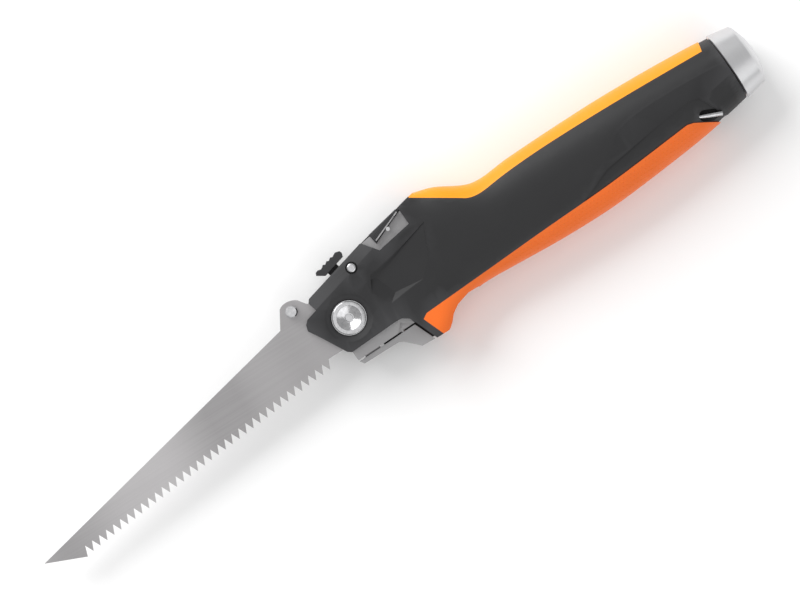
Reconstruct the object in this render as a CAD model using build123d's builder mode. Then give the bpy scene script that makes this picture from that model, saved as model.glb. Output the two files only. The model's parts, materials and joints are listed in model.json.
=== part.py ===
"""Folding drywall jab saw with a sliding utility knife in the far side of its head.

The tool lies on its far side. +X runs from the saw's tip to the end cap, +Y is the spine, and +Z is the
saw's pivot axis, towards the near side. Outlines are drawn about the pivot axis, and layer(height) gives
the sketch plane at a height above the tool's middle plane. All sizes are in millimetres.
"""

import math
import os

from build123d import *

# ---------------------------------------------------------------- driving dimensions
saw_length = 171.3  # pivot axis to the tip of the saw, along X
handle_length = 198.9  # pivot axis to the seam of the end cap, at the middle of the cap
half_thickness = 16.7  # middle plane to the flat lands that the tool rests on
head_half_thickness = 12.4  # middle plane to the head's flat covers
saw_thickness = 1.2
saw_side_clearance = 0.3  # between the saw and each frame
frame_thickness = 4.0
knife_blade_length = 61.0  # a standard trapezoid blade
knife_blade_height = 19.0
knife_blade_thickness = 0.63
knife_layer_depth = 3.5  # the space for the knife between the far frame and the far shell
shell_wall = 2.6
fit_gap = 0.05  # running clearance around shafts
slide_gap = 0.3  # clearance around sliding and rocking pieces
tooth_count = 35
tooth_pitch = 3.86
tooth_height = 4.2
pivot_shaft_radius = 4.0
bushing_wall = 1.0
pivot_head_radius = 7.4
pivot_head_height = 2.2
pivot_ring_gap = 0.75
cover_ring_width = 2.4
stud_radius = 2.7
stud_height = 5.2
pin_radius = 2.1
pin_ring = 0.6  # the gap round the head pin's end
cap_front_radius = 16.7
cap_rim_radius = 14.2
cap_length = 11.6
cap_dome_rise = 2.5
cap_tilt = 3.0
cap_centre_y = 6.2
recess_slope = 5.4  # degrees
facet_start = 13.0  # pivot axis to the fold line along the head's top
facet_fall = 0.27  # how much the facet falls for each millimetre across it

# ---------------------------------------------------------------- places that follow
slot_half = saw_thickness / 2 + saw_side_clearance
frame_out = slot_half + frame_thickness
knife_floor = frame_out + knife_layer_depth
slide_angle = math.degrees(math.atan2(25.1 - 16.3, 20.9 + 10.6))
cap_end_x = handle_length + cap_length + cap_dome_rise
top_of_tool = 33.0
bottom_of_tool = -28.7
pivot_x = (saw_length - cap_end_x) / 2
pivot_y = -(top_of_tool + bottom_of_tool) / 2
TALL = 60.0


def layer(height):
    """The sketch plane at a height above the middle plane, with its centre on the pivot axis."""
    return Plane(origin=(pivot_x, pivot_y, half_thickness + height))


def slide_layer(height):
    """As layer, with its own X along the knife's track, towards the end cap."""
    across = math.radians(slide_angle)
    return Plane(
        origin=(pivot_x, pivot_y, half_thickness + height),
        x_dir=(math.cos(across), math.sin(across), 0),
        z_dir=(0, 0, 1),
    )


def finish(builder, name):
    """Label a finished piece and write it."""
    builder.part.label = name
    export_step(builder.part, f"parts/{name}.step")


os.makedirs("parts", exist_ok=True)

# ---------------------------------------------------------------- outlines about the pivot axis
handle_end_top = (handle_length - 0.9, 22.1)
handle_end_bottom = (handle_length + 0.7, -9.6)

# the spine strip's inner edge, and the upper edge of the belly grip
spine_inner = [(69.5, 18.7), (72.6, 17), (76.5, 16.3), (85, 17), (95, 18), (125, 19), (155, 18.8), (192.7, 17.8)]
belly_upper = [(30, -16.1), (50, -14.9), (65, -14), (95, -12.1), (125, -10.5), (155, -7.8), (170, -6.3)]
head_front = [(-6.7, -13.5), (-8.5, -12.2), (-15.6, 0), (-18.4, 4.4), (-17.7, 7.1), (-15.9, 8.9)]
head_top = [(-10.6, 10.4), (-11.8, 14.7), (-10.6, 16.3), (20.9, 25.1)]
window = [(21.5, 25), (27, 18.1), (44, 21.3), (43.5, 30), (50, 31.5)]
whole_top = [(26.2, 26.4), (42.3, 29.9), (50, 31.5)]
guard_band = [(31.7, -27.7), (28.3, -27.7), (23.8, -16.9)]
shell_bottom = [(23.3, -16.9), (22.5, -14.3), (19.6, -12.4), (16.7, -12.2)]

# ---------------------------------------------------------------- the handle's rounded outer form
# one section every station_step from the head's front: top, bottom, half thickness, how square it is
first_station = -28
station_step = 8
stations = [
    (46, -46, head_half_thickness, 8.0),
    (46, -46, head_half_thickness, 8.0),
    (46, -46, head_half_thickness, 8.0),
    (46, -46, head_half_thickness, 8.0),
    (46, -46, head_half_thickness, 8.0),
    (46, -45, head_half_thickness, 7.5),
    (45.5, -42, head_half_thickness, 7.0),
    (44, -36, head_half_thickness, 6.0),
    (41, -28.5, head_half_thickness + 0.15, 5.0),
    (37, -22.5, head_half_thickness + 0.5, 4.2),
    (32.4, -19.2, head_half_thickness + 1.0, 3.6),
    (30.1, -18.3, 13.9, 3.2),
    (26.1, -18.5, 14.2, 3.0),
    (22.4, -18.9, 14.5, 2.9),
    (21.9, -19.3, 14.75, 2.8),
    (22.8, -19.7, 15.0, 2.7),
    (23.3, -19.95, 15.25, 2.65),
    (23.6, -20.05, 15.55, 2.6),
    (23.85, -20.0, 15.85, 2.6),
    (24.05, -19.8, 16.15, 2.55),
    (24.2, -19.3, 16.45, 2.5),
    (24.3, -18.6, 16.75, 2.45),
    (24.25, -17.8, 17.0, 2.4),
    (24.1, -16.95, 17.15, 2.35),
    (23.9, -16.05, 17.2, 2.3),
    (23.6, -15.1, 17.2, 2.25),
    (23.25, -13.9, 17.15, 2.2),
    (22.8, -12.5, 17.05, 2.15),
    (22.25, -10.9, 16.95, 2.1),
    (21.6, -9.3, 16.8, 2.05),
]


def rounded_form(inset):
    """The handle's outer form, drawn in by an inset, as a loft through its stations."""
    with BuildPart() as form:
        for number, (top, bottom, thick, square) in enumerate(stations):
            centre = (top + bottom) / 2
            half = (top - bottom) / 2 - inset
            points = []
            for step in range(32):
                along_y = math.cos(math.tau * step / 32)
                along_z = math.sin(math.tau * step / 32)
                reach = (abs(along_y) ** square + abs(along_z) ** square) ** (-1 / square)
                points.append((centre + half * reach * along_y, (thick - inset) * reach * along_z))
            station = Plane(
                origin=(pivot_x + first_station + number * station_step, pivot_y, half_thickness),
                x_dir=(0, 1, 0),
                z_dir=(1, 0, 0),
            )
            with BuildSketch(station):
                with BuildLine():
                    Spline(*points, periodic=True)
                make_face()
        loft()
    return form.part


outer_form = rounded_form(0)
inner_form = rounded_form(shell_wall)


def form_between(low, high):
    """The handle's outer form between two heights."""
    with BuildPart() as band:
        with BuildSketch(layer(low)):
            with Locations((100, 0)):
                Rectangle(320, 220)
        extrude(amount=high - low)
    return outer_form & band.part


def draw_outline(points_lists):
    """Draw a closed outline, each list a smooth run or a straight one."""
    last = None
    first = points_lists[0][1][0]
    for kind, points in points_lists:
        if last is not None and last != points[0]:
            Line(last, points[0])
        if kind == "smooth":
            Spline(*points)
        else:
            Polyline(*points)
        last = points[-1]
    if last != first:
        Line(last, first)


def region(points_lists, low, high):
    """A closed outline made solid between two heights."""
    with BuildPart() as solid:
        with BuildSketch(layer(low)):
            with BuildLine():
                draw_outline(points_lists)
            make_face()
        extrude(amount=high - low)
    return solid.part


def around(points_lists, low, high):
    """All that lies outside a closed outline between two heights, or above and below them."""
    with BuildPart() as outside:
        with BuildSketch(layer(-TALL)):
            with Locations((20, 0)):
                Rectangle(500, 200)
        extrude(amount=2 * TALL)
        with BuildSketch(layer(low)):
            with BuildLine():
                draw_outline(points_lists)
            make_face()
        extrude(amount=high - low, mode=Mode.SUBTRACT)
    return outside.part


def black_outline(top_edge):
    """The outline of a side shell, with the given edge along its top."""
    return [
        ("straight", [(16.7, -12.2), *head_front, *head_top, *top_edge[:-1], (50, 31.6), (50, 31)]),
        ("smooth", spine_inner),
        ("straight", [(192.7, 17.8), (194.7, 24), (handle_end_top[0], 24), (handle_end_bottom[0], -14)]),
        ("straight", [(184, -14.5), (184, -12.8), (173, -7), (170, -6.3)]),
        ("smooth", belly_upper[::-1]),
        ("straight", [(30, -16.1), (27.5, -17.7), *guard_band, *shell_bottom]),
    ]


belly_outline = [
    ("smooth", belly_upper),
    ("straight", [(170, -6.3), (173, -7), (184, -12.8), (184, -30), (56, -30), (56, -18.2), (50.3, -18.1)]),
    ("straight", [(43.7, -20.1), (40.3, -22.3), (37.7, -25.3), (35.9, -26.9), (34.6, -27.7), (31.7, -27.7)]),
    ("straight", [(27.5, -17.7), (30, -16.1)]),
]
amber_outline = [
    ("smooth", spine_inner),
    ("straight", [(192.7, 17.8), (194.7, 24), (190, 27), (60, 36), (57, 33.2), (50, 31.5), (50, 31)]),
]

frame_outline = [
    ("straight", [(-6.4, -18.05), (23.3, -16.9), (29.4, -16), (33.5, -24.5), (36, -24), (43.7, -17)]),
    ("straight", [(50.3, -14.9), (65, -15.2), (100, -16.8), (130, -16.1), (160, -13.3), (174, -10.5)]),
    ("straight", [(193, -8), (193, 18), (174, 19.5), (125, 20.8), (95, 19.9), (79, 18.7), (64, 25)]),
    ("straight", [(50, 28.5), (42.3, 28.2), (26.2, 25.6), (21.5, 24.9), (-9.4, 16.2), (-10.4, 14.2)]),
    ("straight", [(-8.6, 9.3), (-14, 7.2), (-16.2, 3.8), (-13.6, 0), (-6.7, -12.2)]),
]

# ---------------------------------------------------------------- the saw
def turned(point, degrees):
    """A point turned about the pivot axis."""
    angle = math.radians(degrees)
    x, y = point
    return (x * math.cos(angle) - y * math.sin(angle), x * math.sin(angle) + y * math.cos(angle))


first_tooth_x = -149.9
root_front = (first_tooth_x - 1.9, -23.9)
root_rear = (root_front[0] + tooth_count * tooth_pitch * math.cos(math.radians(5.6)), -10.6)
tang_radius = 13.8
shoulder_x = 17.6

with BuildPart() as saw_blade:
    with BuildSketch(layer(-saw_thickness / 2)):
        with BuildLine():
            run_x = (root_rear[0] - root_front[0]) / tooth_count
            run_y = (root_rear[1] - root_front[1]) / tooth_count
            teeth = [root_front]
            for tooth in range(tooth_count):
                at_x = root_front[0] + tooth * run_x
                at_y = root_front[1] + tooth * run_y
                teeth.append((at_x + run_x * 0.52, at_y + run_y * 0.52 - tooth_height))
                teeth.append((at_x + run_x, at_y + run_y))
            Polyline(*teeth)
            Polyline(root_rear, (-8.9, -10.55))
            ThreePointArc((-8.9, -10.55), (0, -tang_radius), (8.9, -10.55))
            Polyline((8.9, -10.55), (16.2, -8.4), (shoulder_x, -7.2), (shoulder_x, -4.0), (13.6, 2.3))
            ThreePointArc((13.6, 2.3), (9.7, 9.8), (0, tang_radius))
            Polyline((0, tang_radius), (-10.4, 14.2), (-12.5, 14.9), (-14.4, 17.2))
            Spline((-14.4, 17.2), (-16.2, 19.2), (-18.4, 20.1), (-21.5, 20.3), (-24.2, 19.2))
            Polyline((-24.2, 19.2), (-28.9, 11.1), (-saw_length, -21.3), (-153.3, -28.7), root_front)
        make_face()
    extrude(amount=saw_thickness)
    with BuildSketch(layer(-saw_thickness / 2)):
        Circle(pivot_shaft_radius + bushing_wall + fit_gap)
        with Locations((-20.2, 15.6)):
            Circle(stud_radius * 0.5)
    extrude(amount=saw_thickness, mode=Mode.SUBTRACT)
finish(saw_blade, "saw_blade")

with BuildPart() as thumb_stud:
    with BuildSketch(layer(-saw_thickness / 2)):
        with Locations((-20.2, 15.6)):
            Circle(stud_radius * 0.5)
    extrude(amount=saw_thickness)
    with BuildSketch(layer(saw_thickness / 2)):
        with Locations((-20.2, 15.6)):
            Circle(stud_radius)
    extrude(amount=stud_height)
    chamfer(thumb_stud.edges().group_by(Axis.Z)[-1], length=0.5)
finish(thumb_stud, "thumb_stud")

# ---------------------------------------------------------------- the pivot
bushing_length = 2 * slot_half - 0.1
with BuildPart() as pivot_bushing:
    with BuildSketch(layer(-slot_half + 0.05)):
        Circle(pivot_shaft_radius + bushing_wall)
        Circle(pivot_shaft_radius, mode=Mode.SUBTRACT)
    extrude(amount=bushing_length)
finish(pivot_bushing, "pivot_bushing")

ring_floor = head_half_thickness - pivot_head_height - 0.4
with BuildPart() as pivot_bolt:
    with BuildSketch(layer(-frame_out)):
        Circle(pivot_shaft_radius)
    extrude(amount=frame_out + ring_floor)
    with BuildSketch(layer(ring_floor)):
        Circle(pivot_head_radius)
    extrude(amount=pivot_head_height)
    chamfer(pivot_bolt.edges().group_by(Axis.Z)[-1], length=0.5)
    with BuildSketch(layer(ring_floor + pivot_head_height)):
        Circle(pivot_head_radius - 2.1)
    extrude(amount=-1.5, taper=45, mode=Mode.SUBTRACT)
finish(pivot_bolt, "pivot_bolt")

with BuildPart() as pivot_washer:
    with BuildSketch(layer(ring_floor - 0.8)):
        Circle(pivot_head_radius + 0.3)
        Circle(pivot_shaft_radius + 0.1, mode=Mode.SUBTRACT)
    extrude(amount=0.8)
finish(pivot_washer, "pivot_washer")

# ---------------------------------------------------------------- the two frames and what joins them
stud_sweep_low = stud_radius + slide_gap


def stud_pocket():
    """The arc that the thumb stud sweeps inside the near frame as the saw folds."""
    reach = math.hypot(-20.2, 15.6)
    with BuildPart() as pocket:
        with BuildSketch(layer(0)):
            Circle(reach + stud_sweep_low)
            Circle(reach - stud_sweep_low, mode=Mode.SUBTRACT)
            with BuildLine():
                Polyline((0, 0), turned((60, 0), 185), turned((90, 0), 250), turned((60, 0), 323), close=True)
            make_face(mode=Mode.INTERSECT)
        extrude(amount=slot_half + stud_height)
    return pocket.part


head_pin_place = (12.4, 18.1)
lever_pin_place = (35, 24.2)
release_pin_place = (0, -15.9)
cap_pin_place = (188, 5.6)
screw_places = [(56, 22), (120, 15.9), (179.5, 13), (179.5, -1.5)]
bar_place = (180.7, -7.6)


def post(place, radius, low, high):
    """A round post or hole between two heights."""
    with BuildPart() as made:
        with BuildSketch(layer(low)):
            with Locations(place):
                Circle(radius)
        extrude(amount=high - low)
    return made.part


def slab(points, low, high):
    """A straight-edged outline made solid between two heights."""
    return region([("straight", points)], low, high)


screw_radius = 1.3
head_radius = 2.4
screw_holes = [post(place, screw_radius, -half_thickness, 9) for place in screw_places]
joining_holes = [
    post((0, 0), pivot_shaft_radius, -frame_out, half_thickness),
    post(head_pin_place, pin_radius, -frame_out, half_thickness),
    post(cap_pin_place, pin_radius, -frame_out, frame_out),
]

spine_spacer_solid = slab(
    [(12.5, 15.3), (42, 24), (50, 27), (64, 23), (79, 17.4), (95, 18.3), (125, 19), (174, 17.6), (178, 17.6),
     (178, -9), (174, -9), (174, 14.2), (40, 14.2), (14, 14.6)],
    -slot_half, slot_half,
)
lock_leaf_space = slab(
    [(shoulder_x + 1, -9.5), (59, -9.5), (59, -3.5), (shoulder_x + 1, -3.5)], -2.4, -slot_half,
)
spring_place_x = 17.0
spring_z = -slot_half - frame_thickness / 2
spring_radius = 1.2
spring_low = -21.5
spring_high = -14.2


def upright_post(radius, low, high):
    """A round post along Y at the release spring's place."""
    plane = Plane(
        origin=(pivot_x + spring_place_x, pivot_y + low, half_thickness + spring_z),
        x_dir=(1, 0, 0),
        z_dir=(0, 1, 0),
    )
    with BuildPart() as made:
        with BuildSketch(plane):
            Circle(radius)
        extrude(amount=high - low)
    return made.part


cap_tang = slab([(178, -3), (199, -3), (199, 14), (178, 14)], -slot_half, slot_half)

with BuildPart() as spine_spacer:
    add(spine_spacer_solid)
    for hole in screw_holes + joining_holes:
        add(hole, mode=Mode.SUBTRACT)
finish(spine_spacer, "spine_spacer")

with BuildPart() as near_frame:
    add(region(frame_outline, slot_half, frame_out))
    add(stud_pocket(), mode=Mode.SUBTRACT)
    for hole in screw_holes + joining_holes:
        add(hole, mode=Mode.SUBTRACT)
    add(post(lever_pin_place, 0.9, slot_half, frame_out), mode=Mode.SUBTRACT)
finish(near_frame, "near_frame")

with BuildPart() as far_frame:
    add(region(frame_outline, -frame_out, -slot_half))
    for hole in screw_holes + joining_holes:
        add(hole, mode=Mode.SUBTRACT)
    add(lock_leaf_space, mode=Mode.SUBTRACT)
    add(upright_post(spring_radius + slide_gap, spring_low, spring_high), mode=Mode.SUBTRACT)
    add(post(release_pin_place, 1.2, -frame_out, -slot_half), mode=Mode.SUBTRACT)
finish(far_frame, "far_frame")

with BuildPart() as head_pin:
    add(post(head_pin_place, pin_radius, -frame_out, head_half_thickness + 0.1))
    chamfer(head_pin.edges().group_by(Axis.Z)[-1], length=0.6)
finish(head_pin, "head_pin")

# ---------------------------------------------------------------- the saw's lock and its release
leaf_end = shoulder_x + 0.3
leaf_plane = Plane(origin=(pivot_x, pivot_y - 3.8, half_thickness), x_dir=(1, 0, 0), z_dir=(0, -1, 0))
with BuildPart() as lock_leaf:
    with BuildSketch(leaf_plane):
        with BuildLine():
            Polyline((58.6, -2.2), (58.6, -1.0), (27, -1.0), (leaf_end, 0.6), (leaf_end, -0.7), (26.5, -2.2),
                     close=True)
        make_face()
    extrude(amount=5.4)
finish(lock_leaf, "lock_leaf")

with BuildPart() as release_lever:
    add(slab([(-6.2, -18.8), (-4.8, -20.7), (12.8, -20.6), (14.9, -21.6), (20.9, -27.4), (27.4, -27.7),
              (23.0, -17.7)], -frame_out, -slot_half - 0.05))
    add(slab([(-3.2, -20.6), (6, -20.6), (3.2, -14.4), (-2.6, -14.4)], -frame_out - 1.6, -frame_out - 0.05))
    add(slab([(-3.2, -20.6), (6, -20.6), (5.2, -18.8), (-3.1, -19)], -frame_out - 0.5, -frame_out + 0.5))
    add(post(release_pin_place, 1.2 + fit_gap, -frame_out - 3, 0), mode=Mode.SUBTRACT)
    add(upright_post(spring_radius + slide_gap, spring_low, spring_high), mode=Mode.SUBTRACT)
finish(release_lever, "release_lever")

with BuildPart() as release_pin:
    add(post(release_pin_place, 1.2, -frame_out - 1.7, -slot_half))
    add(post(release_pin_place, 2.0, -frame_out - 2.4, -frame_out - 1.7))
finish(release_pin, "release_pin")

with BuildPart() as release_spring:
    add(upright_post(spring_radius, spring_low, spring_high))
    add(upright_post(spring_radius - 0.5, spring_low, spring_high), mode=Mode.SUBTRACT)
finish(release_spring, "release_spring")

# ---------------------------------------------------------------- the utility knife
blade_low = -3.0
blade_front = -10.5
track_low = blade_low - slide_gap
track_high = blade_low + knife_blade_height + slide_gap
blade_slant = 13.0


def track_slab(points, low, high):
    """A straight-edged outline in the knife track's own directions, made solid between two heights."""
    with BuildPart() as made:
        with BuildSketch(slide_layer(low)):
            with BuildLine():
                Polyline(*points, close=True)
            make_face()
        extrude(amount=high - low)
    return made.part


def track_box(u_low, u_high, v_low, v_high, low, high):
    """A box lined up with the knife's track."""
    return track_slab([(u_low, v_low), (u_high, v_low), (u_high, v_high), (u_low, v_high)], low, high)


blade_top = -frame_out - 0.15
blade_bottom = blade_top - knife_blade_thickness
carrier_low = -knife_floor + 0.25
with BuildPart() as utility_blade:
    add(track_slab([
        (blade_front, blade_low), (blade_front + knife_blade_length, blade_low),
        (blade_front + knife_blade_length - blade_slant, blade_low + knife_blade_height),
        (blade_front + blade_slant, blade_low + knife_blade_height),
    ], blade_bottom, blade_top))
    notches = [(16.5, 14.2), (23.5, 14.2)]
    for u, v in notches:
        add(track_box(u - 1.5, u + 1.5, v, v + 3, blade_bottom, blade_top), mode=Mode.SUBTRACT)
finish(utility_blade, "utility_blade")

with BuildPart() as knife_carrier:
    add(track_box(6, 40, 1, 15.4, carrier_low, blade_bottom))
    for u, v in notches:
        add(track_box(u - 1.3, u + 1.3, v + 0.2, v + 1.2, blade_bottom - 0.3, blade_top - 0.1))
finish(knife_carrier, "knife_carrier")

with BuildPart() as thumb_slider:
    add(slab([
        (-2.7, 23.4), (-2.2, 24.6), (-0.9, 25.1), (0.6, 24.7), (1.5, 25.2), (2.3, 26), (3.3, 25.5), (3.8, 25.9),
        (4.5, 26.5), (5.5, 26.1), (6, 26.5), (6.7, 27.05), (7.8, 26.7), (9.6, 27.8), (11.7, 27.3), (12.2, 26.3),
        (11.7, 24.5), (0.7, 21.3),
    ], -10.2, -0.8))
    add(track_box(8, 13.6, 15.4, 21.6, carrier_low + 0.3, blade_bottom - 0.1))
finish(thumb_slider, "thumb_slider")

# ---------------------------------------------------------------- the blade-change lever in the near window
with BuildPart() as change_lever:
    add(slab([(26.4, 26.4), (42.3, 29.9), (42.8, 28.1), (27.3, 21.5)], frame_out + 0.1, frame_out + 3.4))
    add(post(lever_pin_place, 0.9 + fit_gap, frame_out, frame_out + 4), mode=Mode.SUBTRACT)
    chamfer(change_lever.edges().group_by(Axis.Z)[-1].filter_by(GeomType.LINE), length=0.4)
finish(change_lever, "change_lever")

with BuildPart() as lever_pin:
    add(post(lever_pin_place, 0.9, slot_half, frame_out + 3.6))
finish(lever_pin, "lever_pin")

# ---------------------------------------------------------------- the side shells
core_outline = [(52, 12), (70, 13.5), (95, 13), (155, 14), (168, 13.5), (168, -2.5), (150, -4.5), (110, -8),
                (70, -11), (45, -11.5), (45, 8)]
bosses = [post(place, screw_radius + 2.2, -half_thickness, half_thickness) for place in screw_places]

# the V-shaped recess: its floor falls away forwards from the line where it runs out into the cover
recess_tilt = math.radians(recess_slope)
recess_floor = Plane(
    origin=(pivot_x + 39.9, pivot_y - 2.9, half_thickness + head_half_thickness + 0.45),
    x_dir=(0.425, 0.905, 0),
    z_dir=(-0.905 * math.sin(recess_tilt), 0.425 * math.sin(recess_tilt), math.cos(recess_tilt)),
)
with BuildPart() as recess:
    with BuildSketch(recess_floor):
        with BuildLine():
            Polyline((0, 0), (23.5, 0), (1.7, 23.4), (-5.4, 15.8), close=True)
        make_face()
    with BuildSketch(recess_floor.offset(2.0)):
        with BuildLine():
            Polyline((-6.3, -0.9), (24.6, -0.1), (0.2, 29.6), (-12.8, 19.4), close=True)
        make_face()
    loft(ruled=True)

# what the sloped facet along the top of the near cover leaves out
facet_plane = Plane(
    origin=(pivot_x, pivot_y, half_thickness + head_half_thickness),
    x_dir=(-math.sin(math.radians(slide_angle)), math.cos(math.radians(slide_angle)), 0),
    z_dir=(math.cos(math.radians(slide_angle)), math.sin(math.radians(slide_angle)), 0),
)
with BuildPart() as facet:
    with BuildSketch(facet_plane.offset(-25)):
        with BuildLine():
            Polyline((facet_start, 0), (facet_start + 9, -9 * facet_fall), (facet_start + 9, 3), (facet_start, 3),
                     close=True)
        make_face()
    extrude(amount=55)

# the shallow dish round the pivot's head
dish_depth = 0.7
with BuildPart() as dish:
    with Locations(layer(head_half_thickness - dish_depth)):
        Cone(
            pivot_head_radius + pivot_ring_gap,
            pivot_head_radius + pivot_ring_gap + 2 * cover_ring_width,
            2 * dish_depth,
            align=(Align.CENTER, Align.CENTER, Align.MIN),
        )

bar_plane = Plane(
    origin=(pivot_x + bar_place[0], pivot_y + bar_place[1], half_thickness + 12.2),
    x_dir=(0.382, 0.924, 0),
    z_dir=(0.924, -0.382, 0),
)
with BuildPart() as bar:
    with BuildSketch(bar_plane.offset(-6)):
        Circle(1.1)
    extrude(amount=12)
bar_solid = bar.part
with BuildPart() as bar_recess:
    with BuildSketch(Plane(origin=bar_plane.origin, x_dir=(0.924, -0.382, 0), z_dir=(0, 0, 1)).offset(-3)):
        SlotOverall(9, 5)
    extrude(amount=20)

panel_outline = [(112, -12), (130, -4.4), (145, -2), (160, 0.3), (175, 2.2), (180.3, 1), (182, -2), (186, -9),
                 (190, -14), (150, -14)]
panel_depth = 0.45
panel_form = rounded_form(panel_depth)


def side_shell(top_edge, side):
    """A side shell's solid outside one frame: side is 1 for the near shell and -1 for the far one."""
    low, high = sorted((side * frame_out, side * half_thickness))
    with BuildPart() as shell:
        add(form_between(low, high) & region(black_outline(top_edge), low - 1, high + 1))
        add((slab(core_outline, low, high) & inner_form) - bosses[0] - bosses[1] - bosses[2] - bosses[3],
            mode=Mode.SUBTRACT)
        add(slab(panel_outline, low, high) - panel_form, mode=Mode.SUBTRACT)
        for hole in screw_holes:
            add(hole, mode=Mode.SUBTRACT)
    return shell.part


with BuildPart() as near_shell:
    add(side_shell(window, 1))
    add(post((0, 0), pivot_head_radius + pivot_ring_gap, ring_floor, half_thickness), mode=Mode.SUBTRACT)
    add(post((0, 0), pivot_head_radius + 0.3, ring_floor - 0.8, half_thickness), mode=Mode.SUBTRACT)
    for hole in joining_holes[:2]:
        add(hole, mode=Mode.SUBTRACT)
    add(post(head_pin_place, pin_radius + pin_ring, head_half_thickness - 2, half_thickness), mode=Mode.SUBTRACT)
    for hollow in (recess, facet, dish):
        add(hollow.part, mode=Mode.SUBTRACT)
    add(stud_pocket(), mode=Mode.SUBTRACT)
    add(bar_recess.part, mode=Mode.SUBTRACT)
    add(bar_solid, mode=Mode.SUBTRACT)
finish(near_shell, "near_shell")

# the far shell's lip behind the release lever
lever_backing = [(6.8, -19.4), (12.8, -19.4), (15.8, -21.2), (21.4, -26.2), (28.4, -26.6), (24, -16.8), (22, -12),
                 (6.8, -12)]

with BuildPart() as far_shell:
    add(side_shell(whole_top, -1))
    add(slab(lever_backing, -frame_out - 1.8, -frame_out - 0.15))
    add(track_box(-40, blade_front + knife_blade_length + 1, track_low, track_high, -knife_floor, 0),
        mode=Mode.SUBTRACT)
    add(track_box(-40, 14.2, track_high - 1, 40, -knife_floor, 0), mode=Mode.SUBTRACT)
    for place in screw_places:
        add(post(place, head_radius + 0.1, -half_thickness, -frame_out - 4), mode=Mode.SUBTRACT)
finish(far_shell, "far_shell")

with BuildPart() as shell_screws:
    for place in screw_places:
        add(post(place, screw_radius, -frame_out - 4, 9))
        add(post(place, head_radius, -frame_out - 6, -frame_out - 4))
finish(shell_screws, "shell_screws")

# ---------------------------------------------------------------- the soft grips
def side_grip(side):
    """A belly grip on one side, wrapped round the edge of its frame."""
    low, high = sorted((side * slot_half, side * half_thickness))
    with BuildPart() as grip:
        add(form_between(low, high) - around(belly_outline, low - 1, high + 1))
        add(region(frame_outline, *sorted((side * slot_half, side * frame_out))), mode=Mode.SUBTRACT)
    return grip.part


with BuildPart() as near_grip:
    add(side_grip(1))
finish(near_grip, "near_grip")

with BuildPart() as far_grip:
    add(side_grip(-1))
finish(far_grip, "far_grip")

with BuildPart() as spine_grip:
    add(outer_form - around(amber_outline, -half_thickness, half_thickness))
    add(region(frame_outline, -frame_out, frame_out), mode=Mode.SUBTRACT)
finish(spine_grip, "spine_grip")

# ---------------------------------------------------------------- the end cap and the lanyard bar
tilt = math.radians(cap_tilt)
cap_origin = (pivot_x + handle_length + 0.25, pivot_y + cap_centre_y, half_thickness)
cap_axis = (math.cos(tilt), math.sin(tilt), 0)
with BuildPart() as end_cap:
    with BuildSketch(Plane(origin=cap_origin, x_dir=cap_axis, z_dir=(0, 0, 1))):
        with BuildLine():
            Polyline((0, 0), (0, cap_front_radius - 1.2), (0.6, cap_front_radius - 0.4),
                     (cap_length - 1, cap_rim_radius + 0.2), (cap_length, cap_rim_radius - 1))
            Spline((cap_length, cap_rim_radius - 1), (cap_length + cap_dome_rise * 0.75, cap_rim_radius / 2),
                   (cap_length + cap_dome_rise, 0), tangents=[(0.3, -1), (0, -1)])
            Line((cap_length + cap_dome_rise, 0), (0, 0))
        make_face()
    revolve(axis=Axis(origin=cap_origin, direction=cap_axis))
    add(slab([(182.5, 0.5), (200.5, 0.5), (200.5, 10.5), (182.5, 10.5)], -slot_half, slot_half))
    add(joining_holes[2], mode=Mode.SUBTRACT)
finish(end_cap, "end_cap")

with BuildPart() as cap_pin:
    add(joining_holes[2])
finish(cap_pin, "cap_pin")

with BuildPart() as lanyard_bar:
    add(bar_solid)
finish(lanyard_bar, "lanyard_bar")
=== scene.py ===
"""Looks for a folding drywall saw: finishes for every part, and the fine pieces that the frame leaves out."""

import json
import math

import bmesh
import bpy
from mathutils import Matrix, Vector


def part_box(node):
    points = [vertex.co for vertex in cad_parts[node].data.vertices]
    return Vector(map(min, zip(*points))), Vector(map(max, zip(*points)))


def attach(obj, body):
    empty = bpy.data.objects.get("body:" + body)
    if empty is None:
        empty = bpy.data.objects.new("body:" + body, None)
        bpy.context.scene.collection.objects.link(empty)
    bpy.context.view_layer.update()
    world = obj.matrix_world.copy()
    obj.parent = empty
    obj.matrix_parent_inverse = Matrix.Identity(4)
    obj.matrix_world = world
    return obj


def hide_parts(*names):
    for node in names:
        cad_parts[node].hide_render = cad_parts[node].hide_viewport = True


bl_info = {
    "name": "Folding Drywall Saw",
    "version": (1, 0, 0),
    "blender": (4, 5, 0),
    "location": "View3D > Sidebar > Drywall Saw",
    "description": "Dresses the packed frame of a folding drywall saw with its finishes and fine pieces",
    "category": "Object",
}

MM = 0.001
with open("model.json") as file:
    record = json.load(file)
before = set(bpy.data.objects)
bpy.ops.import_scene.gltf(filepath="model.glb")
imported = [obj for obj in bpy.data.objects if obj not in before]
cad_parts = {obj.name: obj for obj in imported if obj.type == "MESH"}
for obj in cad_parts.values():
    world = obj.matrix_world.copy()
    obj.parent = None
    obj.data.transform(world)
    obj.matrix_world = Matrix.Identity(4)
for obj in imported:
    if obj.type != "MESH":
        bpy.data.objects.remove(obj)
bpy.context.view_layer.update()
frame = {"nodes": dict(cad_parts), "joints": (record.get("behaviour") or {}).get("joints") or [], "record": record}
JOINTS = {joint["name"]: joint for joint in frame["joints"]}
PIVOT = Vector(JOINTS["saw_fold"]["pos_m"])
CHANGER_PIN = Vector(JOINTS["blade_change"]["pos_m"])
LENS = 200
SENSOR = 36
FRAME_WIDTH = 352.4 * MM
AIM = (23.1, -5.1)  # millimetres from the pivot axis
CAMERA_ROLL = math.radians(-31.8)
BACK_TURN = math.radians(12.5)  # the saw's back, out of line with the handle
CAP_TILT = math.radians(3)
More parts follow.
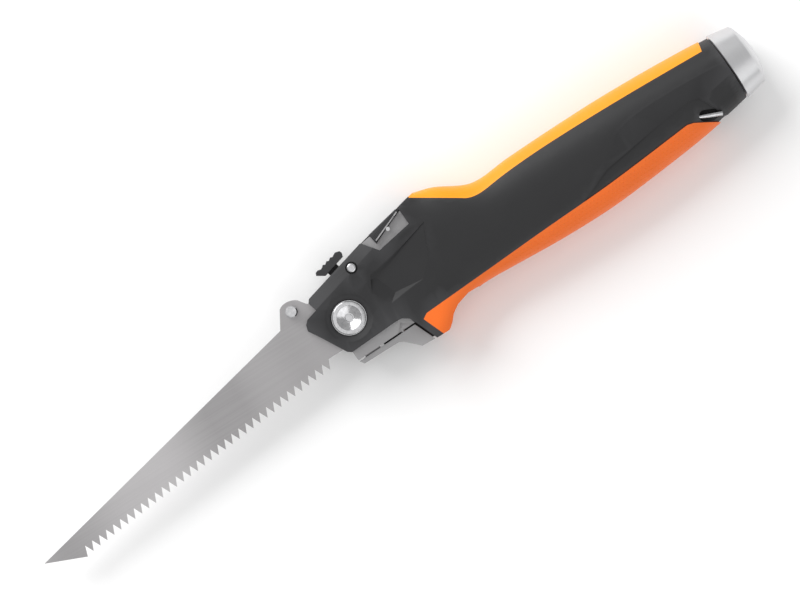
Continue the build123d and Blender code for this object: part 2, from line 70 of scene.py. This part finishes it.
HEAD_HEIGHT = 2.2 * MM  # the pivot bolt's head
STRIP_START = Vector((27.9, 22.6))  # millimetres from the pivot axis
STRIP_END = Vector((42.2, 28.6))


def at(x, y, z):
    """A place given in millimetres from the pivot axis, with z from the bench."""
    return Vector((PIVOT.x + x * MM, PIVOT.y + y * MM, z * MM))


# ------------------------------------------------------------------------------------------ sizes and colours
class SawSizes(bpy.types.PropertyGroup):
    """Sizes of the fine pieces."""

    dot_pitch: bpy.props.FloatProperty(
        name="Grip dot pitch", description="Distance between the grip's raised dots",
        default=1.9 * MM, unit="LENGTH",
    )
    dot_radius: bpy.props.FloatProperty(
        name="Grip dot radius", description="Radius of a raised dot on the grips",
        default=0.52 * MM, unit="LENGTH",
    )
    dot_rise: bpy.props.FloatProperty(
        name="Grip dot rise", description="Height of a raised dot above the grip",
        default=0.14 * MM, unit="LENGTH",
    )
    rib_pitch: bpy.props.FloatProperty(
        name="Lever rib pitch", description="Distance between the ribs on the blade-change lever",
        default=0.75 * MM, unit="LENGTH",
    )
    strip_width: bpy.props.FloatProperty(
        name="Lever strip width", description="Width of the bright strip let into the blade-change lever",
        default=0.55 * MM, unit="LENGTH",
    )


class SawColours(bpy.types.PropertyGroup):
    """Colours of the finishes."""

    grip: bpy.props.FloatVectorProperty(
        name="Belly grip", description="Colour of the soft grip under the fingers",
        default=(0.86, 0.155, 0.014), subtype="COLOR", size=3,
    )
    spine: bpy.props.FloatVectorProperty(
        name="Spine grip", description="Colour of the soft strip along the spine",
        default=(0.97, 0.33, 0.010), subtype="COLOR", size=3,
    )
    shell: bpy.props.FloatVectorProperty(
        name="Shell", description="Colour of the moulded shells",
        default=(0.019, 0.019, 0.020), subtype="COLOR", size=3,
    )
    steel: bpy.props.FloatVectorProperty(
        name="Saw steel", description="Colour of the ground saw blade",
        default=(0.40, 0.39, 0.395), subtype="COLOR", size=3,
    )
    silver: bpy.props.FloatVectorProperty(
        name="Frame metal", description="Colour of the satin frames and lever",
        default=(0.40, 0.395, 0.40), subtype="COLOR", size=3,
    )
    floor: bpy.props.FloatVectorProperty(
        name="Floor", description="Colour of the plain floor",
        default=(0.96, 0.96, 0.96), subtype="COLOR", size=3,
    )


# ------------------------------------------------------------------------------------------ finishes
def new_finish(name, colour, metallic, roughness):
    """A material with its shader's own colour, metal and roughness set."""
    material = bpy.data.materials.new(name)
    material.use_nodes = True
    shader = material.node_tree.nodes["Principled BSDF"]
    shader.inputs["Base Color"].default_value = (*colour, 1)
    shader.inputs["Metallic"].default_value = metallic
    shader.inputs["Roughness"].default_value = roughness
    return material, shader


def place_pattern(material, scale, turn=(0, 0, 0)):
    """Object coordinates through a mapping."""
    nodes = material.node_tree.nodes
    coords = nodes.new("ShaderNodeTexCoord")
    mapping = nodes.new("ShaderNodeMapping")
    mapping.inputs["Scale"].default_value = scale
    mapping.inputs["Rotation"].default_value = turn
    material.node_tree.links.new(coords.outputs["Object"], mapping.inputs["Vector"])
    return mapping.outputs["Vector"]


def noise(material, vector, scale, detail=4, roughness=0.55):
    """A noise pattern on a vector."""
    node = material.node_tree.nodes.new("ShaderNodeTexNoise")
    node.inputs["Scale"].default_value = scale
    node.inputs["Detail"].default_value = detail
    node.inputs["Roughness"].default_value = roughness
    material.node_tree.links.new(vector, node.inputs["Vector"])
    return node.outputs["Fac"]


def ramp(material, value, stops):
    """A colour ramp, each stop a place and a colour."""
    node = material.node_tree.nodes.new("ShaderNodeValToRGB")
    elements = node.color_ramp.elements
    while len(elements) < len(stops):
        elements.new(0.5)
    for element, (place, colour) in zip(elements, stops):
        element.position = place
        element.color = (*colour, 1)
    material.node_tree.links.new(value, node.inputs["Fac"])
    return node.outputs["Color"]


def spread(material, value, low, high):
    """A value stretched from 0..1 to low..high."""
    node = material.node_tree.nodes.new("ShaderNodeMapRange")
    node.inputs["To Min"].default_value = low
    node.inputs["To Max"].default_value = high
    material.node_tree.links.new(value, node.inputs["Value"])
    return node.outputs["Result"]


def mix_colours(material, share, first, second):
    """Two colours mixed by a share."""
    node = material.node_tree.nodes.new("ShaderNodeMix")
    node.data_type = "RGBA"
    links = material.node_tree.links
    links.new(share, node.inputs["Factor"])
    for socket, colour in ((node.inputs["A"], first), (node.inputs["B"], second)):
        if isinstance(colour, tuple):
            socket.default_value = (*colour, 1)
        else:
            links.new(colour, socket)
    return node.outputs["Result"]


def add_bump(material, shader, height, strength, distance):
    """Bump from a height pattern."""
    node = material.node_tree.nodes.new("ShaderNodeBump")
    node.inputs["Strength"].default_value = strength
    node.inputs["Distance"].default_value = distance
    material.node_tree.links.new(height, node.inputs["Height"])
    material.node_tree.links.new(node.outputs["Normal"], shader.inputs["Normal"])


def painted_edge_highlight(material):
    """Painted highlight on outward edges: 1 on outward corners, 0 on flats and hollows."""
    nodes = material.node_tree.nodes
    geometry = nodes.new("ShaderNodeNewGeometry")
    return ramp(material, geometry.outputs["Pointiness"], [(0.50, (0, 0, 0)), (0.60, (1, 1, 1))])


def scaled(colour, factor):
    """A colour made lighter or darker."""
    return tuple(min(channel * factor, 1.0) for channel in colour)


def link(material, value, socket):
    """Drive a shader's socket with a pattern."""
    material.node_tree.links.new(value, socket)


def ground_steel(colour):
    """The saw blade: fine grinding lines along its back and soft broad bands of light."""
    material, shader = new_finish("ground_steel", colour, 0.85, 0.34)
    along = place_pattern(material, (9, 900, 900), (0, 0, -BACK_TURN))
    broad = place_pattern(material, (16, 3, 1), (0, 0, 0.35))
    lines = noise(material, along, 1.4, 6, 0.6)
    bands = noise(material, broad, 1.0, 1, 0.4)
    grain = ramp(material, lines, [(0.3, scaled(colour, 0.86)), (0.7, scaled(colour, 1.10))])
    light = ramp(material, bands, [(0.35, scaled(colour, 0.72)), (0.62, scaled(colour, 1.5))])
    link(material, mix_colours(material, spread(material, bands, 0.45, 0.85), grain, light),
         shader.inputs["Base Color"])
    link(material, spread(material, lines, 0.27, 0.42), shader.inputs["Roughness"])
    add_bump(material, shader, lines, 0.12, 0.00004)
    return material


def polished_steel():
    """Turned and polished steel, with a faint haze."""
    material, shader = new_finish("polished_steel", (0.52, 0.52, 0.53), 1.0, 0.2)
    vector = place_pattern(material, (1, 1, 1))
    haze = noise(material, vector, 700, 5, 0.6)
    link(material, spread(material, haze, 0.14, 0.28), shader.inputs["Roughness"])
    link(material, ramp(material, haze, [(0.3, (0.46, 0.46, 0.47)), (0.75, (0.62, 0.62, 0.63))]),
         shader.inputs["Base Color"])
    return material


def satin_metal(name, colour, roughness):
    """Blasted and plated metal: a fine even grain."""
    material, shader = new_finish(name, colour, 0.75, roughness)
    vector = place_pattern(material, (1, 1, 1))
    grain = noise(material, vector, 2600, 3, 0.6)
    cloud = noise(material, vector, 60, 4, 0.5)
    link(material, mix_colours(material, spread(material, cloud, 0.0, 0.6),
                               scaled(colour, 1.08), scaled(colour, 0.82)), shader.inputs["Base Color"])
    link(material, spread(material, grain, roughness - 0.06, roughness + 0.10), shader.inputs["Roughness"])
    add_bump(material, shader, grain, 0.22, 0.00003)
    return material


def moulded_nylon(colour):
    """Glass-filled black nylon: spark-eroded grain, and a painted highlight that makes its outward edges a little
    paler.
    """
    material, shader = new_finish("moulded_nylon", colour, 0.0, 0.46)
    vector = place_pattern(material, (1, 1, 1))
    grain = noise(material, vector, 1500, 4, 0.65)
    cloud = noise(material, vector, 45, 5, 0.5)
    base = mix_colours(material, spread(material, cloud, 0.0, 0.5), scaled(colour, 0.9), scaled(colour, 1.35))
    # painted highlight: outward edges lightened to 2.2 times the shell colour, standing in for light catching them
    edge_highlighted = mix_colours(material, painted_edge_highlight(material), base, scaled(colour, 2.2))
    link(material, edge_highlighted, shader.inputs["Base Color"])
    link(material, spread(material, grain, 0.40, 0.58), shader.inputs["Roughness"])
    shader.inputs["Specular IOR Level"].default_value = 0.26
    add_bump(material, shader, grain, 0.30, 0.00006)
    return material


def soft_rubber(name, colour, roughness, grain_scale, grain_depth):
    """Over-moulded soft rubber: matt sheen, faint handling marks."""
    material, shader = new_finish(name, colour, 0.0, roughness)
    vector = place_pattern(material, (1, 1, 1))
    grain = noise(material, vector, grain_scale, 4, 0.6)
    cloud = noise(material, vector, 38, 5, 0.55)
    base = mix_colours(material, spread(material, cloud, 0.1, 0.7),
                       scaled(colour, 1.06), scaled(colour, 0.86))
    link(material, base, shader.inputs["Base Color"])
    link(material, spread(material, grain, roughness - 0.07, roughness + 0.12), shader.inputs["Roughness"])
    shader.inputs["Specular IOR Level"].default_value = 0.3
    shader.inputs["Sheen Weight"].default_value = 0.05
    shader.inputs["Sheen Roughness"].default_value = 0.45
    shader.inputs["Subsurface Weight"].default_value = 0.05
    shader.inputs["Subsurface Scale"].default_value = 0.002
    add_bump(material, shader, grain, 0.25, grain_depth)
    return material


def turned_alloy(colour, axis_place, tilt):
    """The end cap: satin alloy with turning marks round its axis."""
    material, shader = new_finish("turned_alloy", colour, 0.9, 0.36)
    nodes = material.node_tree.nodes
    coords = nodes.new("ShaderNodeTexCoord")
    mapping = nodes.new("ShaderNodeMapping")
    mapping.vector_type = "TEXTURE"
    mapping.inputs["Location"].default_value = axis_place
    mapping.inputs["Rotation"].default_value = (0, 0, tilt)
    link(material, coords.outputs["Object"], mapping.inputs["Vector"])
    rings = nodes.new("ShaderNodeTexWave")
    rings.wave_type = "BANDS"
    rings.bands_direction = "X"
    rings.inputs["Scale"].default_value = 900
    rings.inputs["Distortion"].default_value = 1.2
    rings.inputs["Detail"].default_value = 3
    link(material, mapping.outputs["Vector"], rings.inputs["Vector"])
    link(material, spread(material, rings.outputs["Fac"], 0.27, 0.40), shader.inputs["Roughness"])
    tones = [(0.2, scaled(colour, 0.9)), (0.8, scaled(colour, 1.1))]
    link(material, ramp(material, rings.outputs["Fac"], tones), shader.inputs["Base Color"])
    add_bump(material, shader, rings.outputs["Fac"], 0.08, 0.00003)
    return material


def bearing_bronze():
    """Oil-filled sintered bronze."""
    material, shader = new_finish("bearing_bronze", (0.55, 0.33, 0.14), 0.9, 0.4)
    pores = noise(material, place_pattern(material, (1, 1, 1)), 3200, 3, 0.7)
    link(material, spread(material, pores, 0.3, 0.55), shader.inputs["Roughness"])
    add_bump(material, shader, pores, 0.3, 0.00003)
    return material


# ------------------------------------------------------------------------------------------ modelling help
def deselect():
    """Leave nothing selected."""
    if bpy.context.object and bpy.context.object.mode != "OBJECT":
        bpy.ops.object.mode_set(mode="OBJECT")
    bpy.ops.object.select_all(action="DESELECT")


def edit(obj):
    """Open a piece in edit mode with nothing in it selected."""
    deselect()
    bpy.context.view_layer.objects.active = obj
    obj.select_set(True)
    bpy.ops.object.mode_set(mode="EDIT")
    bpy.ops.mesh.select_mode(type="FACE")
    bpy.ops.mesh.select_all(action="DESELECT")


def select_faces(obj, wanted):
    """Select the faces of a piece in edit mode that pass a test on their centre and normal."""
    shape = bmesh.from_edit_mesh(obj.data)
    for face in shape.faces:
        face.select_set(wanted(face.calc_center_median(), face.normal))
    bmesh.update_edit_mesh(obj.data)


def close_up(obj):
    """Leave edit mode and put the piece's place into its mesh."""
    bpy.ops.object.mode_set(mode="OBJECT")
    deselect()
    obj.select_set(True)
    bpy.context.view_layer.objects.active = obj
    bpy.ops.object.transform_apply(location=True, rotation=True, scale=True)


def smooth(obj, degrees=32):
    """Smooth shading up to an angle."""
    deselect()
    obj.select_set(True)
    bpy.context.view_layer.objects.active = obj
    bpy.ops.object.shade_smooth_by_angle(angle=math.radians(degrees))


def join(pieces, name):
    """Join pieces into the first one and name it."""
    deselect()
    for piece in pieces:
        piece.select_set(True)
    bpy.context.view_layer.objects.active = pieces[0]
    bpy.ops.object.join()
    pieces[0].name = name
    pieces[0].data.name = name
    return pieces[0]


def dress(obj, material, body):
    """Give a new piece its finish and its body."""
    obj.data.materials.clear()
    obj.data.materials.append(material)
    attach(obj, body)


def copy_of(obj, matrix):
    """A copy of a piece with its own mesh, placed by a matrix."""
    twin = obj.copy()
    twin.data = obj.data.copy()
    twin.data.transform(matrix)
    bpy.context.scene.collection.objects.link(twin)
    return twin


# ------------------------------------------------------------------------------------------ operators
FINISHES = {}


class SAW_OT_finishes(bpy.types.Operator):
    """Make every finish and put it on the parts of the frame"""

    bl_idname = "saw.finishes"
    bl_label = "Finishes"

    def execute(self, context):
        colours = context.scene.saw_colours
        cap_low, cap_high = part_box("end_cap")
        steel = ground_steel(tuple(colours.steel))
        bright = polished_steel()
        silver = satin_metal("satin_frame", tuple(colours.silver), 0.40)
        nylon = moulded_nylon(tuple(colours.shell))
        orange = soft_rubber("belly_rubber", tuple(colours.grip), 0.52, 1800, 0.00005)
        amber = soft_rubber("spine_rubber", tuple(colours.spine), 0.42, 2400, 0.00002)
        cap_end = (cap_high.x, (cap_low.y + cap_high.y) / 2, 0)
        cap = turned_alloy((0.66, 0.66, 0.67), cap_end, CAP_TILT)
        FINISHES.update(
            steel=steel, bright=bright, silver=silver, nylon=nylon, orange=orange, amber=amber, cap=cap,
            bronze=bearing_bronze(),
        )
        slots = {
            "blade_steel": steel, "polished_steel": bright, "bearing_bronze": FINISHES["bronze"],
            "frame_steel": silver, "black_nylon": nylon, "orange_grip": orange, "amber_grip": amber,
            "cap_alloy": cap,
        }
        for part in frame["record"]["subparts"]:
            node = frame["nodes"][part["node"]]
            node.data.materials.clear()
            node.data.materials.append(slots[part["material_slot"]])
        return {"FINISHED"}


class SAW_OT_pivot(bpy.types.Operator):
    """Model the pivot bolt with its dished head, and the head pin with its domed end"""

    bl_idname = "saw.pivot"
    bl_label = "Pivot bolt"

    def execute(self, context):
        low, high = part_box("pivot_bolt")
        radius = (high.x - low.x) / 2
        bpy.ops.mesh.primitive_cylinder_add(
            vertices=96, radius=radius, depth=HEAD_HEIGHT,
            location=(PIVOT.x, PIVOT.y, high.z - HEAD_HEIGHT / 2),
        )
        bolt = bpy.context.object
        bolt.name = "pivot_bolt_head"
        edit(bolt)
        select_faces(bolt, lambda centre, normal: normal.z > 0.9)
        bpy.ops.mesh.bevel(offset=0.55 * MM, segments=4, affect="EDGES")
        select_faces(bolt, lambda centre, normal: normal.z > 0.99 and centre.xy.length < radius * 0.5)
        bpy.ops.mesh.inset(thickness=1.35 * MM)
        bpy.ops.mesh.inset(thickness=0.12 * MM, depth=-0.2 * MM)
        bpy.ops.mesh.inset(thickness=3.2 * MM, depth=-1.15 * MM)
        bpy.ops.mesh.inset(thickness=0.5 * MM, depth=-0.05 * MM)
        bpy.ops.mesh.inset(thickness=0.15 * MM, depth=-0.5 * MM)
        select_faces(bolt, lambda centre, normal: normal.z < -0.9)
        bpy.ops.mesh.inset(thickness=3.4 * MM)
        shank = (0, 0, low.z - high.z + HEAD_HEIGHT)
        bpy.ops.mesh.extrude_region_move(TRANSFORM_OT_translate={"value": shank})
        close_up(bolt)
        smooth(bolt, 14)
        dress(bolt, FINISHES["bright"], "handle")
        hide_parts("pivot_bolt")

        low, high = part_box("head_pin")
        radius = (high.x - low.x) / 2
        bpy.ops.mesh.primitive_cylinder_add(
            vertices=48, radius=radius, depth=high.z - low.z, location=(low + high) / 2,
        )
        pin = bpy.context.object
        pin.name = "head_pin_dome"
        edit(pin)
        select_faces(pin, lambda centre, normal: normal.z > 0.9)
        bpy.ops.mesh.bevel(offset=0.9 * MM, segments=6, affect="EDGES", profile=0.6)
        close_up(pin)
        smooth(pin, 40)
        dress(pin, FINISHES["bright"], "handle")
        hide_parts("head_pin")
        return {"FINISHED"}


class SAW_OT_grip_dots(bpy.types.Operator):
    """Cover the belly grips with small raised dots"""

    bl_idname = "saw.grip_dots"
    bl_label = "Grip dots"

    def execute(self, context):
        sizes = context.scene.saw_sizes
        for node, side in (("near_grip", 1), ("far_grip", -1)):
            bpy.ops.mesh.primitive_ico_sphere_add(subdivisions=2, radius=sizes.dot_radius, location=(0, 0, 0))
            dot = bpy.context.object
            edit(dot)
            bpy.ops.mesh.select_all(action="SELECT")
            bpy.ops.mesh.bisect(plane_co=(0, 0, 0), plane_no=(0, 0, 1), clear_inner=True, use_fill=True)
            close_up(dot)
            dot.data.transform(Matrix.Diagonal((1, 1, sizes.dot_rise / sizes.dot_radius, 1)))
            grip = frame["nodes"][node]
            low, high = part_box(node)
            dots = []
            rows = int((high.y - low.y) / (sizes.dot_pitch * 0.866)) + 1
            columns = int((high.x - low.x) / sizes.dot_pitch) + 1
            start_z = high.z + 0.01 if side > 0 else low.z - 0.01
            dots_from = low.x + 0.22 * (high.x - low.x)
            dots_to = low.x + 0.93 * (high.x - low.x)
            for row in range(rows):
                for column in range(columns):
                    x = low.x + (column + 0.5 * (row % 2)) * sizes.dot_pitch
                    y = low.y + row * sizes.dot_pitch * 0.866
                    hit, place, normal, _ = grip.ray_cast(Vector((x, y, start_z)), Vector((0, 0, -side)))
                    if not hit or normal.z * side < 0.28 or not dots_from < x < dots_to:
                        continue
                    inside = all(
                        grip.ray_cast(Vector((x + dx, y + dy, start_z)), Vector((0, 0, -side)))[0]
                        for dx, dy in ((0.9 * MM, 0), (-0.9 * MM, 0), (0, 0.9 * MM), (0, -0.9 * MM))
                    )
                    if not inside:
                        continue
                    turn = normal.to_track_quat("Z", "Y").to_matrix().to_4x4()
                    dots.append(copy_of(dot, Matrix.Translation(place) @ turn))
            bpy.data.objects.remove(dot)
            piece = join(dots, f"{node}_dots")
            smooth(piece, 60)
            dress(piece, FINISHES["orange"], "handle")
        return {"FINISHED"}


class SAW_OT_lever_ribs(bpy.types.Operator):
    """Set the fine thumb ribs on the blade-change lever"""

    bl_idname = "saw.lever_ribs"
    bl_label = "Lever ribs"

    def execute(self, context):
        pitch = context.scene.saw_sizes.rib_pitch
        low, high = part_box("change_lever")
        bpy.ops.mesh.primitive_cube_add(size=1, location=(0, 0, 0))
        rib = bpy.context.object
        rib.scale = (pitch * 0.5, 2.2 * MM, 0.3 * MM)
        edit(rib)
        bpy.ops.mesh.select_all(action="SELECT")
        bpy.ops.mesh.bevel(offset=0.2, segments=2, affect="EDGES")
        close_up(rib)
        ribs = []
        lever = frame["nodes"]["change_lever"]
        count = int((high.x - low.x) / pitch)
        for step in range(2, count - 2):
            x = low.x + step * pitch
            hits = []
            for line in range(40):
                y = low.y + (high.y - low.y) * line / 39
                if lever.ray_cast(Vector((x, y, high.z + 0.01)), Vector((0, 0, -1)))[0]:
                    hits.append(y)
            if len(hits) < 12:
                continue
            centre = (hits[0] + hits[-1]) / 2
            if (Vector((x, centre, 0)) - Vector((CHANGER_PIN.x, CHANGER_PIN.y, 0))).length < 2.0 * MM:
                continue
            lean = Matrix.Rotation(0.22, 4, "Z")
            ribs.append(copy_of(rib, Matrix.Translation((x, centre, high.z - 0.05 * MM)) @ lean))
        bpy.data.objects.remove(rib)
        piece = join(ribs, "change_lever_ribs")
        smooth(piece)
        dress(piece, FINISHES["nylon"], "changer")
        return {"FINISHED"}


class SAW_OT_lever_strip(bpy.types.Operator):
    """Lay the bright strip along the lower edge of the blade-change lever"""

    bl_idname = "saw.lever_strip"
    bl_label = "Lever strip"

    def execute(self, context):
        width = context.scene.saw_sizes.strip_width
        _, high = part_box("change_lever")
        run = STRIP_END - STRIP_START
        middle = (STRIP_START + STRIP_END) / 2
        bpy.ops.mesh.primitive_cube_add(size=1, location=(0, 0, 0))
        strip = bpy.context.object
        strip.name = "change_lever_strip"
        strip.scale = (run.length * MM, width, 0.3 * MM)
        strip.rotation_euler = (0, 0, math.atan2(run.y, run.x))
        strip.location = at(middle.x, middle.y, high.z / MM - 0.05)
        edit(strip)
        bpy.ops.mesh.select_all(action="SELECT")
        bpy.ops.mesh.bevel(offset=0.06 * MM, segments=2, affect="EDGES")
        close_up(strip)
        smooth(strip)
        dress(strip, FINISHES["silver"], "changer")
        return {"FINISHED"}


class SAW_OT_stage(bpy.types.Operator):
    """Lay the pale floor and set the lights and the camera"""

    bl_idname = "saw.stage"
    bl_label = "Stage"

    def execute(self, context):
        deselect()
        bpy.ops.mesh.primitive_plane_add(size=6, location=(0, 0, 0))
        floor = bpy.context.object
        floor.name = "floor"
        material, _ = new_finish("pale_floor", tuple(context.scene.saw_colours.floor), 0.0, 0.9)
        floor.data.materials.append(material)

        world = bpy.data.worlds.new("studio")
        world.use_nodes = True
        world.node_tree.nodes["Background"].inputs["Color"].default_value = (1, 1, 1, 1)
        world.node_tree.nodes["Background"].inputs["Strength"].default_value = 0.52
        context.scene.world = world
        lamps = (
            ("key", (-0.3, 1.05, 0.80), 1.0, 18),
            ("fill", (0.2, -1.1, 1.0), 1.4, 7),
            ("top", (-0.2, 0.0, 1.5), 0.8, 1.2),
        )
        for name, place, size, power in lamps:
            light = bpy.data.lights.new(name, "AREA")
            light.size = size
            light.energy = power
            lamp = bpy.data.objects.new(name, light)
            lamp.location = place
            lamp.rotation_euler = (-Vector(place)).to_track_quat("-Z", "Y").to_euler()
            context.scene.collection.objects.link(lamp)

        camera = bpy.data.cameras.new("camera")
        camera.lens = LENS
        camera.sensor_width = SENSOR
        camera.clip_end = 10
        holder = bpy.data.objects.new("camera", camera)
        aim = at(*AIM, PIVOT.z / MM)
        holder.location = aim + Vector((0, 0, FRAME_WIDTH * LENS / SENSOR))
        holder.rotation_euler = (0, 0, CAMERA_ROLL)
        context.scene.collection.objects.link(holder)
        context.scene.camera = holder
        context.scene.view_settings.view_transform = "Standard"
        return {"FINISHED"}


class SAW_PT_panel(bpy.types.Panel):
    """Sizes, colours and steps of the drywall saw"""

    bl_idname = "SAW_PT_panel"
    bl_label = "Drywall Saw"
    bl_space_type = "VIEW_3D"
    bl_region_type = "UI"
    bl_category = "Drywall Saw"

    def draw(self, context):
        layout = self.layout
        for group in (context.scene.saw_sizes, context.scene.saw_colours):
            for name in group.__annotations__:
                layout.prop(group, name)
        for operator in OPERATORS:
            layout.operator(operator.bl_idname)


OPERATORS = (SAW_OT_finishes, SAW_OT_pivot, SAW_OT_grip_dots, SAW_OT_lever_ribs, SAW_OT_lever_strip,
             SAW_OT_stage)
CLASSES = (SawSizes, SawColours, *OPERATORS, SAW_PT_panel)


def register():
    """Add the classes and the scene's settings."""
    for item in CLASSES:
        bpy.utils.register_class(item)
    bpy.types.Scene.saw_sizes = bpy.props.PointerProperty(type=SawSizes)
    bpy.types.Scene.saw_colours = bpy.props.PointerProperty(type=SawColours)


def unregister():
    """Take the classes and settings away again."""
    del bpy.types.Scene.saw_colours
    del bpy.types.Scene.saw_sizes
    for item in reversed(CLASSES):
        bpy.utils.unregister_class(item)


def main():
    """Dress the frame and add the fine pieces."""
    register()
    bpy.ops.saw.stage()
    bpy.ops.saw.finishes()
    bpy.ops.saw.pivot()
    bpy.ops.saw.grip_dots()
    bpy.ops.saw.lever_ribs()
    bpy.ops.saw.lever_strip()


if __name__ == "__main__":
    main()
